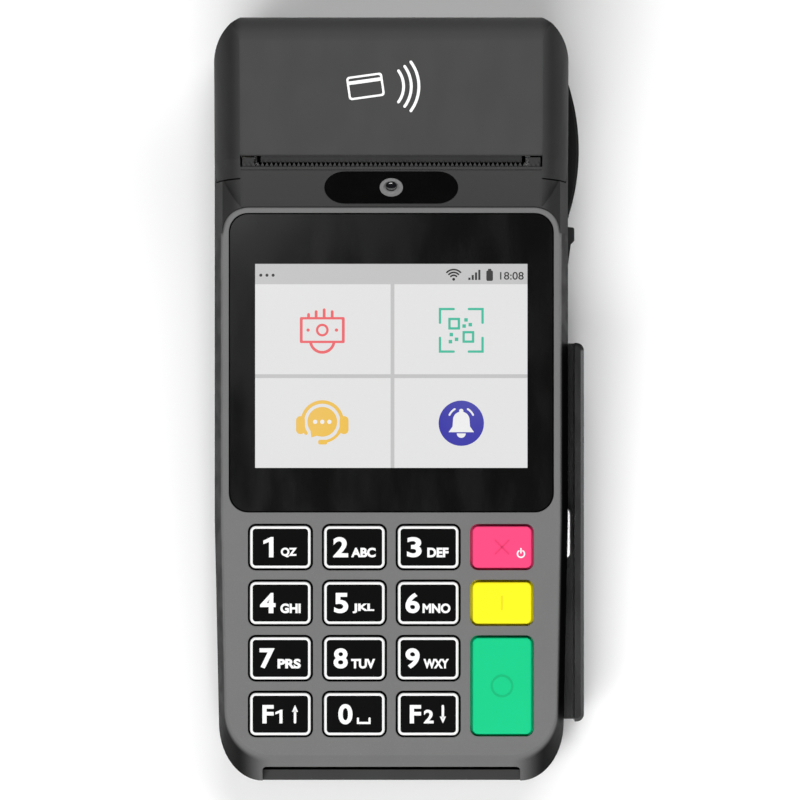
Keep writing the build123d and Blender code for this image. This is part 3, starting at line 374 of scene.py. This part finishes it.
finishes = {
    "face_plastic": faceplate(),
    # The case's second colour, grey(36), is painted shade on its shoulders and flanks.
    "body_plastic": shell("body_plastic", grey(63), grey(36)),
    "lever_plastic": moulded("lever_plastic", grey(10), 0.45, relief=0.006, specular=0.1).material,
    "rail_plastic": moulded(
        "rail_plastic", grey(20), 0.26, relief=0.002, coat=0.5, specular=0.3
    ).material,
    "display_glass": screen_glass(),
    "lcd_metal": metal("lcd_metal", grey(170), 0.35).material,
    "window_gloss": moulded(
        "window_gloss", grey(2), 0.1, relief=0.0005, gloss_change=0.02, specular=0.3
    ).material,
    "trim_grey": moulded("trim_grey", grey(120), 0.38, grain=0.1, relief=0.004).material,
    "lens": moulded(
        "lens", srgb(3, 3, 8), 0.07, relief=0.0005, gloss_change=0.02, coat=1.0
    ).material,
    "module_plastic": moulded("module_plastic", grey(34), 0.55).material,
    "mat_rubber": moulded("mat_rubber", grey(170), 0.7, grain=0.2).material,
    "board": circuit_board(),
    "battery": moulded("battery_wrap", srgb(40, 46, 58), 0.4, grain=1.2, relief=0.02).material,
    "steel": metal("steel", grey(190), 0.32).material,
    "antenna": moulded("antenna_film", srgb(120, 78, 40), 0.4, grain=0.5).material,
    "rubber": moulded("rubber", grey(30), 0.78, grain=0.25, relief=0.03, specular=0.3).material,
    "chrome": metal("head_can", grey(240), 0.42, stretch=(4, 1, 14), relief=0.001).material,
    "tear_black": moulded("tear_black", grey(58), 0.5, specular=0.15).material,
    "aluminium": metal("anodised", grey(52), 0.45, stretch=(14, 1, 1)).material,
    "gear_plastic": moulded("gear_plastic", srgb(228, 224, 210), 0.42, grain=0.2).material,
    "paper": wound_paper(),
    "core": moulded("core_board", srgb(170, 140, 104), 0.85, grain=0.8, relief=0.05).material,
    "key_black": moulded(
        "key_black", grey(4), 0.45, grain=0.15, relief=0.003, specular=0.03
    ).material,
    "key_pink": coloured("key_pink", srgb(246, 68, 122)),
    "key_yellow": coloured("key_yellow", srgb(246, 234, 24)),
    "key_green": coloured("key_green", srgb(0, 196, 130)),
}
for node, obj in nodes.items():
    obj.data.materials.clear()
    obj.data.materials.append(finishes[slot_of[node]])


# ---- Flat shapes, in millimetres ----------------------------------------------------------
def turn(centre, radius, start, stop, steps=24):
    """Points on an arc, with its angles in degrees."""
    return [
        (
            centre[0] + radius * math.cos(math.radians(start + (stop - start) * step / steps)),
            centre[1] + radius * math.sin(math.radians(start + (stop - start) * step / steps)),
        )
        for step in range(steps + 1)
    ]


def disc(centre, radius):
    return turn(centre, radius, 0, 360, 40)[:-1]


def rounded(centre, size, radius, steps=8):
    """Outline of a rectangle with rounded corners, from its right side anticlockwise."""
    half_x, half_y = size[0] / 2 - radius, size[1] / 2 - radius
    corners = ((1, 1, 0), (-1, 1, 90), (-1, -1, 180), (1, -1, 270))
    return [
        point
        for x, y, start in corners
        for point in turn(
            (centre[0] + x * half_x, centre[1] + y * half_y), radius, start, start + 90, steps
        )
    ]


def stroke(points, width):
    """Outline of a line of a width, with round ends and mitred bends."""
    path = [Vector(point) for point in points]
    along = [(b - a).normalized() for a, b in zip(path, path[1:])]
    left, right = [], []
    for index, point in enumerate(path):
        before = along[max(index - 1, 0)]
        after = along[min(index, len(along) - 1)]
        middle = (before + after).normalized()
        normal = Vector((-middle.y, middle.x))
        reach = width / 2 / max(0.3, middle.dot(after))
        left.append(tuple(point + normal * reach))
        right.append(tuple(point - normal * reach))
    first, last = (math.degrees(math.atan2(way.y, way.x)) for way in (along[0], along[-1]))
    head = turn(path[-1], width / 2, last - 90, last + 90, 8)[1:-1]
    tail = turn(path[0], width / 2, first + 90, first + 270, 8)[1:-1]
    return right + head + left[::-1] + tail


def slab(outlines, low, high):
    """Mesh of flat outlines between two heights. An outline inside another is a hole."""
    curve = bpy.data.curves.new("slab", "CURVE")
    curve.dimensions = "2D"
    curve.fill_mode = "BOTH"
    curve.extrude = (high - low) / 2
    for outline in outlines:
        spline = curve.splines.new("POLY")
        spline.points.add(len(outline) - 1)
        for point, (x, y) in zip(spline.points, outline):
            point.co = (x, y, 0, 1)
        spline.use_cyclic_u = True
    return baked(curve, Matrix.Translation((0, 0, (low + high) / 2)))


def baked(curve, matrix=None):
    """Mesh of a curve or of lettering."""
    holder = bpy.data.objects.new("holder", curve)
    mesh = bpy.data.meshes.new_from_object(holder)
    bpy.data.objects.remove(holder)
    if matrix is not None:
        mesh.transform(matrix)
    return mesh


def lettering(text, x_range, base, height, low, high, weight=0.03):
    """Mesh of a text fitted between two x values, standing on a base line."""
    curve = bpy.data.curves.new("lettering", "FONT")
    curve.body = text
    curve.extrude = 0.02
    curve.bevel_depth = weight
    curve.bevel_resolution = 2
    mesh = baked(curve)
    least = [min(vertex.co[axis] for vertex in mesh.vertices) for axis in range(3)]
    most = [max(vertex.co[axis] for vertex in mesh.vertices) for axis in range(3)]
    wanted = (x_range[1] - x_range[0], height, high - low)
    scale = [size / (most[axis] - least[axis]) for axis, size in enumerate(wanted)]
    mesh.transform(
        Matrix.Translation((x_range[0], base, low))
        @ Matrix.Diagonal((*scale, 1))
        @ Matrix.Translation([-value for value in least])
    )
    return mesh


def piece(name, meshes, plane, material, body):
    """One object from meshes drawn on a plane; it rides on a body."""
    mesh = bpy.data.meshes.new(name)
    shape = bmesh.new()
    for part in meshes:
        shape.from_mesh(part)
    bmesh.ops.remove_doubles(shape, verts=shape.verts, dist=1e-4)
    bmesh.ops.recalc_face_normals(shape, faces=shape.faces)
    shape.transform(plane)
    shape.to_mesh(mesh)
    shape.free()
    mesh.materials.append(material)
    obj = bpy.data.objects.new(name, mesh)
    bpy.context.scene.collection.objects.link(obj)
    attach(obj, body)
    return obj


# ---- Keys ---------------------------------------------------------------------------------
PRINT_LOW, PRINT_HIGH = -0.02, 0.02
RING_WIDTH = 0.55
KEY_CORNER = 1.2
KEY_ROUND = 0.35
KEY_FLANGE = 2.0  # how much wider a key's flange is than its cap
white_print = printed("white_print", grey(236))


def cap_size(node):
    """Width and height of a key's cap."""
    low, high = face_box(node)
    return (high.x - low.x - KEY_FLANGE, high.y - low.y - KEY_FLANGE)


def cap_ring(size):
    """Printed border that wraps the rounded top edge of a cap."""
    film = PRINT_HIGH
    profile = [(film, -0.75)]
    for step in range(7):
        angle = math.radians(90 * step / 6)
        reach = KEY_ROUND + film
        profile.append(
            (reach * math.cos(angle) - KEY_ROUND, reach * math.sin(angle) - KEY_ROUND)
        )
    profile += [(-RING_WIDTH, film), (-RING_WIDTH, -film), (-0.3, -0.5), (-film, -0.75)]
    shape = bmesh.new()
    loops = []
    for grow, height in profile:
        outline = rounded(
            (0, 0), (size[0] + 2 * grow, size[1] + 2 * grow), max(0.2, KEY_CORNER + grow)
        )
        loops.append([shape.verts.new((x, y, height)) for x, y in outline])
    count = len(loops[0])
    for one, two in zip(loops, loops[1:] + loops[:1]):
        for index in range(count):
            after = (index + 1) % count
            shape.faces.new((one[index], one[after], two[after], two[index]))
    mesh = bpy.data.meshes.new("ring")
    shape.to_mesh(mesh)
    shape.free()
    return mesh


# Digit and its extents, then the letters and theirs, from the middle of the cap
LEGENDS = {
    "key_1": (("1", (-3.6, -1.45)), ("QZ", (0.1, 3.5))),
    "key_2": (("2", (-4.5, -1.3)), ("ABC", (-0.7, 4.5))),
    "key_3": (("3", (-4.5, -1.4)), ("DEF", (-0.2, 4.3))),
    "key_4": (("4", (-4.3, -1.0)), ("GHI", (0.0, 4.3))),
    "key_5": (("5", (-4.3, -1.3)), ("JKL", (-0.4, 4.2))),
    "key_6": (("6", (-4.8, -1.8)), ("MNO", (-1.2, 4.7))),
    "key_7": (("7", (-4.4, -1.2)), ("PRS", (-0.6, 4.3))),
    "key_8": (("8", (-4.4, -1.4)), ("TUV", (-0.7, 4.4))),
    "key_9": (("9", (-4.8, -1.8)), ("WXY", (-1.0, 4.4))),
}
DIGIT_BASE, DIGIT_HEIGHT, LETTER_HEIGHT = -2.15, 4.3, 2.05


def mark(*outlines):
    return slab(outlines, PRINT_LOW, PRINT_HIGH)


def numeral_one(x_range, base, height):
    """A one with a flag, which the built-in face draws as a plain bar."""
    left, right = x_range
    top, stem = base + height, right - 0.22 * height
    return mark([(stem, base), (right, base), (right, top), (right - 0.13 * height, top),
                 (left, top - 0.18 * height), (left, top - 0.35 * height),
                 (stem, top - 0.24 * height)])


def legend(text, x_range, height, base=DIGIT_BASE, weight=0.03):
    return lettering(text, x_range, base, height, PRINT_LOW, PRINT_HIGH, weight)


def arrow(x, low, high, up):
    """A small arrow with a stem."""
    tip, tail, way = (high, low, 1) if up else (low, high, -1)
    head = [(x, tip), (x - 0.65, tip - way * 1.45), (x + 0.65, tip - way * 1.45)]
    stem = stroke(((x, tail + way * 0.25), (x, tip - way * 1.2)), 0.52)
    return [mark(head), mark(stem)]


for node, (digit, letters) in LEGENDS.items():
    number = legend(*digit, DIGIT_HEIGHT)
    if digit[0] == "1":
        number = numeral_one(digit[1], DIGIT_BASE, DIGIT_HEIGHT)
    meshes = [number, legend(*letters, LETTER_HEIGHT, weight=0.045)]
    piece(f"legend_{node[4:]}", meshes, on_key(node), white_print, node)
space_bar = stroke(((0.75, -0.9), (0.75, -1.85), (3.2, -1.85), (3.2, -0.9)), 0.45)
piece("legend_0", [legend("0", (-3.4, -0.4), DIGIT_HEIGHT), mark(space_bar)],
      on_key("key_0"), white_print, "key_0")
F_BASE, F_HEIGHT, F_DIGIT_HEIGHT, ARROW_X = -1.95, 3.9, 2.9, 3.1
f_number = {
    "key_f1": ((-3.8, -1.4), numeral_one((-1.05, 0.45), F_BASE, F_DIGIT_HEIGHT)),
    "key_f2": ((-3.9, -1.5), legend("2", (-0.95, 1.15), F_DIGIT_HEIGHT, F_BASE)),
}
for node, (f_range, number) in f_number.items():
    meshes = [legend("F", f_range, F_HEIGHT, F_BASE), number]
    meshes += arrow(ARROW_X, F_BASE, -F_BASE, node == "key_f1")
    piece(f"legend_{node[4:]}", meshes, on_key(node), white_print, node)
for node in [name for name in nodes if slot_of[name] == "key_black"]:
    ring = piece(f"ring_{node[4:]}", [cap_ring(cap_size(node))], on_key(node), white_print, node)
    for face in ring.data.polygons:
        face.use_smooth = True

# Raised marks on the coloured keys, in the key's own plastic; their colour is a little darker than
# the cap's, as painted shade.
RAISED, SUNK = 0.1, -0.05
pink_mark_painted_shade = coloured("pink_mark_painted_shade", srgb(226, 58, 108))
yellow_mark_painted_shade = coloured("yellow_mark_painted_shade", srgb(228, 216, 20))
green_mark_painted_shade = coloured("green_mark_painted_shade", srgb(0, 178, 116))
cross = [slab([stroke((start, stop), 0.4)], SUNK, RAISED)
         for start, stop in (((-1.4, -1.4), (1.4, 1.4)), ((-1.4, 1.4), (1.4, -1.4)))]
piece("raised_cross", cross, on_key("key_cancel"), pink_mark_painted_shade, "key_cancel")
bar = slab([stroke(((0.0, -1.3), (0.0, 1.3)), 0.5)], SUNK, RAISED)
piece("raised_bar", [bar], on_key("key_clear"), yellow_mark_painted_shade, "key_clear")
circle = slab([disc((0, 0), 2.4), disc((0, 0), 1.95)], SUNK, RAISED)
piece("raised_circle", [circle], on_key("key_enter"), green_mark_painted_shade, "key_enter")
standby = [mark(stroke(turn((4.0, -1.4), 0.75, 125, 415), 0.3)),
           mark(stroke(((4.0, -1.2), (4.0, -0.3)), 0.3))]
piece("standby_mark", standby, on_key("key_cancel"), white_print, "key_cancel")

# Domed front element of the camera, standing in its trim ring
SLOPE_LEAN = math.radians(40.1)
DOME_RADIUS, DOME_RISE, DOME_DEPTH = 1.2, 0.3, 0.34
dome = bmesh.new()
rings = []
for step in range(9):
    angle = math.radians(90 * step / 8)
    radius, height = DOME_RADIUS * math.cos(angle), DOME_RISE * math.sin(angle) - DOME_DEPTH
    rings.append([dome.verts.new((x, y, height)) for x, y in disc((0, 0), max(radius, 0.01))])
for outer, inner in zip(rings, rings[1:]):
    for index in range(len(outer)):
        after = (index + 1) % len(outer)
        dome.faces.new((outer[index], outer[after], inner[after], inner[index]))
dome.faces.new(rings[-1])
dome.faces.new(rings[0][::-1])
dome_mesh = bpy.data.meshes.new("dome")
dome.to_mesh(dome_mesh)
dome.free()
CAMERA_Y = 45.0
SLOPE = (
    FACE
    @ Matrix.Translation((0, CAMERA_Y, (CAMERA_Y - PLATE_TOP) * math.tan(SLOPE_LEAN)))
    @ Matrix.Rotation(SLOPE_LEAN, 4, "X")
)
dome_piece = piece("lens_dome", [dome_mesh], SLOPE, finishes["lens"], "terminal")
for face in dome_piece.data.polygons:
    face.use_smooth = True

# ---- Lit picture --------------------------------------------------------------------------
glass_top = face_box("display_glass")[1].z
SCREEN = FACE @ Matrix.Translation((0, 0, glass_top))
LAYER = 0.02
PICTURE_X, PICTURE_Y, BAR_Y = (-28.8, 28.8), (-14.15, 29.0), 24.7
GRID_X, GRID_Y, GRID_WIDTH = 0.25, 5.25, 0.8


def block(x_range, y_range, radius=0.05):
    centre = (sum(x_range) / 2, sum(y_range) / 2)
    return rounded(centre, (x_range[1] - x_range[0], y_range[1] - y_range[0]), radius, 4)


def layer(name, level, outlines, material):
    """Shapes of the picture, one film over another."""
    meshes = [slab(group, (level - 1) * LAYER, level * LAYER) for group in outlines]
    piece(name, meshes, SCREEN, material, "terminal")


tile_edges_x = (PICTURE_X[0], GRID_X - GRID_WIDTH / 2, GRID_X + GRID_WIDTH / 2, PICTURE_X[1])
tile_edges_y = (PICTURE_Y[0], GRID_Y - GRID_WIDTH / 2, GRID_Y + GRID_WIDTH / 2, BAR_Y)
tiles = [
    [block(tile_edges_x[column:column + 2], tile_edges_y[row:row + 2])]
    for column in (0, 2)
    for row in (0, 2)
]
layer("picture_ground", 1, [[block(PICTURE_X, PICTURE_Y)]], lit("picture_ground", grey(196)))
layer("picture_tiles", 2, tiles, lit("picture_tiles", grey(229)))

coral = lit("picture_coral", srgb(238, 108, 112))
teal = lit("picture_teal", srgb(74, 190, 160))
amber = lit("picture_amber", srgb(240, 194, 84))
indigo = lit("picture_indigo", srgb(58, 56, 168))
ink = lit("picture_ink", grey(34))
pale = lit("picture_pale", grey(240))

# Banknote held in a hand
NOTE = (-14.6, 15.0)
note = [[rounded(NOTE, (9.5, 5.5), 0.3), rounded(NOTE, (8.3, 4.5), 0.15)],
        [disc(NOTE, 1.35), disc(NOTE, 0.85)],
        [disc((NOTE[0] - 3.0, NOTE[1]), 0.35)],
        [disc((NOTE[0] + 3.0, NOTE[1]), 0.35)],
        [stroke(turn((NOTE[0], NOTE[1] - 2.2), 2.5, 190, 350), 0.6)]]
note += [[stroke(((NOTE[0] + x, NOTE[1] + 2.7), (NOTE[0] + x, NOTE[1] + top)), 0.6)]
         for x, top in ((-2.9, 3.3), (-1.3, 3.9), (0.4, 4.3), (2.1, 3.9))]
layer("icon_note", 3, note, coral)

# Scan frame round a block code
CODE = (14.8, 14.95)
code = []
for side_x in (-1, 1):
    for side_y in (-1, 1):
        edge_x, edge_y = CODE[0] + side_x * 4.5, CODE[1] + side_y * 4.5
        code.append([stroke(((edge_x - side_x * 2.9, edge_y), (edge_x, edge_y),
                             (edge_x, edge_y - side_y * 2.9)), 0.5)])
for x, y in ((-1.5, 1.4), (1.5, -1.4)):
    centre = (CODE[0] + x, CODE[1] + y)
    code.append([rounded(centre, (2.5, 2.5), 0.1), rounded(centre, (1.5, 1.5), 0.1)])
for x, y in ((1.0, 2.2), (1.9, 1.2), (0.6, 0.9), (-2.1, -0.9), (-1.0, -1.9), (-2.3, -2.4)):
    code.append([rounded((CODE[0] + x, CODE[1] + y), (0.75, 0.75), 0.05)])
layer("icon_code", 3, code, teal)

# Headset round a speech bubble
TALK = (-14.6, -4.4)
talk = [[stroke(turn(TALK, 4.2, -35, 215), 0.75)],
        [disc(TALK, 3.15)],
        [[(TALK[0] - 2.6, TALK[1] - 1.2), (TALK[0] - 2.3, TALK[1] - 3.3),
          (TALK[0] - 0.6, TALK[1] - 2.8)]],
        [rounded((TALK[0] - 4.6, TALK[1] - 0.7), (1.9, 3.8), 0.9)],
        [rounded((TALK[0] + 4.6, TALK[1] - 0.7), (1.9, 3.8), 0.9)],
        [stroke(turn(TALK, 4.2, -35, -80), 0.6)],
        [rounded((TALK[0] + 0.1, TALK[1] - 4.3), (1.9, 1.0), 0.35)]]
layer("icon_talk", 3, talk, amber)
layer("icon_talk_dots", 4, [[disc((TALK[0] + x, TALK[1]), 0.45)] for x in (-1.5, 0.0, 1.5)], pale)

# Bell on a disc
BELL = (14.8, -4.7)
layer("icon_bell_disc", 3, [[disc(BELL, 4.8)]], indigo)
crown = turn((BELL[0], BELL[1] + 0.7), 1.75, 0, 180)
skirt = [(BELL[0] - 1.85, BELL[1] - 0.7), (BELL[0] - 2.7, BELL[1] - 1.9),
         (BELL[0] + 2.7, BELL[1] - 1.9), (BELL[0] + 1.85, BELL[1] - 0.7)]
bell = [[crown + skirt],
        [disc((BELL[0], BELL[1] + 2.6), 0.45)],
        [turn((BELL[0], BELL[1] - 2.15), 0.95, 180, 360)],
        [stroke(turn((BELL[0], BELL[1] + 0.6), 2.75, 25, 60), 0.4)],
        [stroke(turn((BELL[0], BELL[1] + 0.6), 2.75, 120, 155), 0.4)]]
layer("icon_bell", 4, bell, pale)

# Status bar: a plain dot row at the left; radio, strength, battery and clock at the right
STATUS_Y = 26.6
WAVES = (13.2, STATUS_Y - 0.85)
status = [[disc(WAVES, 0.3)]]
status += [[stroke(turn(WAVES, radius, 45, 135, 12), 0.35)] for radius in (0.85, 1.45, 2.05)]
status += [[block((16.3 + step * 0.7, 16.75 + step * 0.7),
                  (STATUS_Y - 1.0, STATUS_Y - 0.5 + step * 0.55))] for step in range(4)]
status += [[rounded((20.8, STATUS_Y - 0.1), (1.4, 2.2), 0.3)],
           [rounded((20.8, STATUS_Y + 1.15), (0.7, 0.4), 0.1)]]
status += [[disc((-27.6 + step * 1.3, STATUS_Y), 0.32)] for step in range(3)]
layer("status_marks", 2, status, ink)
clock = lettering("18:08", (23.0, 28.0), STATUS_Y - 0.95, 1.65, LAYER, 2 * LAYER, 0.01)
piece("status_clock", [clock], SCREEN, ink, "terminal")

# ---- Pictogram on the cover ---------------------------------------------------------------
PICTOGRAM_Y = 66.0
ROOF_EDGE_Y, ROOF_EDGE_Z = 51.6, 8.5  # the roof's front edge
ROOF = (
    FACE
    @ Matrix.Translation(
        (-1.8, PICTOGRAM_Y, ROOF_EDGE_Z + (PICTOGRAM_Y - ROOF_EDGE_Y) * math.tan(ROOF_LEAN))
    )
    @ Matrix.Rotation(ROOF_LEAN, 4, "X")
)
LINE = 0.45
card = [rounded((0, 0), (7.6, 5.0), 0.7), rounded((0, 0), (7.6 - 2 * LINE, 5.0 - 2 * LINE), 0.4)]
stripe = [block((-3.4, 3.4), (0.75, 1.5))]
waves = [[stroke(turn((-1.2, 0.0), radius, -36, 36), 0.6)] for radius in (5.6, 7.2, 8.8)]
tap = [slab(group, PRINT_LOW, PRINT_HIGH) for group in ([card[0], card[1]], stripe)]
for mesh in tap:
    mesh.transform(Matrix.Translation((-3.6, 0, 0)) @ Matrix.Rotation(math.radians(8), 4, "Z"))
tap += [slab(group, PRINT_LOW, PRINT_HIGH) for group in waves]
piece("tap_pictogram", tap, ROOF, white_print, "cover")

# ---- Floor --------------------------------------------------------------------------------
FLOOR_HALF = 6.0
FLOOR_Z = -0.0002  # just under the feet, in metres
floor_mesh = bpy.data.meshes.new("floor")
floor_shape = bmesh.new()
bmesh.ops.create_grid(floor_shape, x_segments=2, y_segments=2, size=FLOOR_HALF)
floor_shape.to_mesh(floor_mesh)
floor_shape.free()
floor_recipe = Recipe("floor_paper")
floor_tone = floor_recipe.mix(floor_recipe.noise(300.0), grey(246), grey(250))
floor_recipe.set(Base_Color=floor_tone, Roughness=0.9)
floor_mesh.materials.append(floor_recipe.material)
floor = bpy.data.objects.new("floor", floor_mesh)
bpy.context.scene.collection.objects.link(floor)
floor.location.z = FLOOR_Z
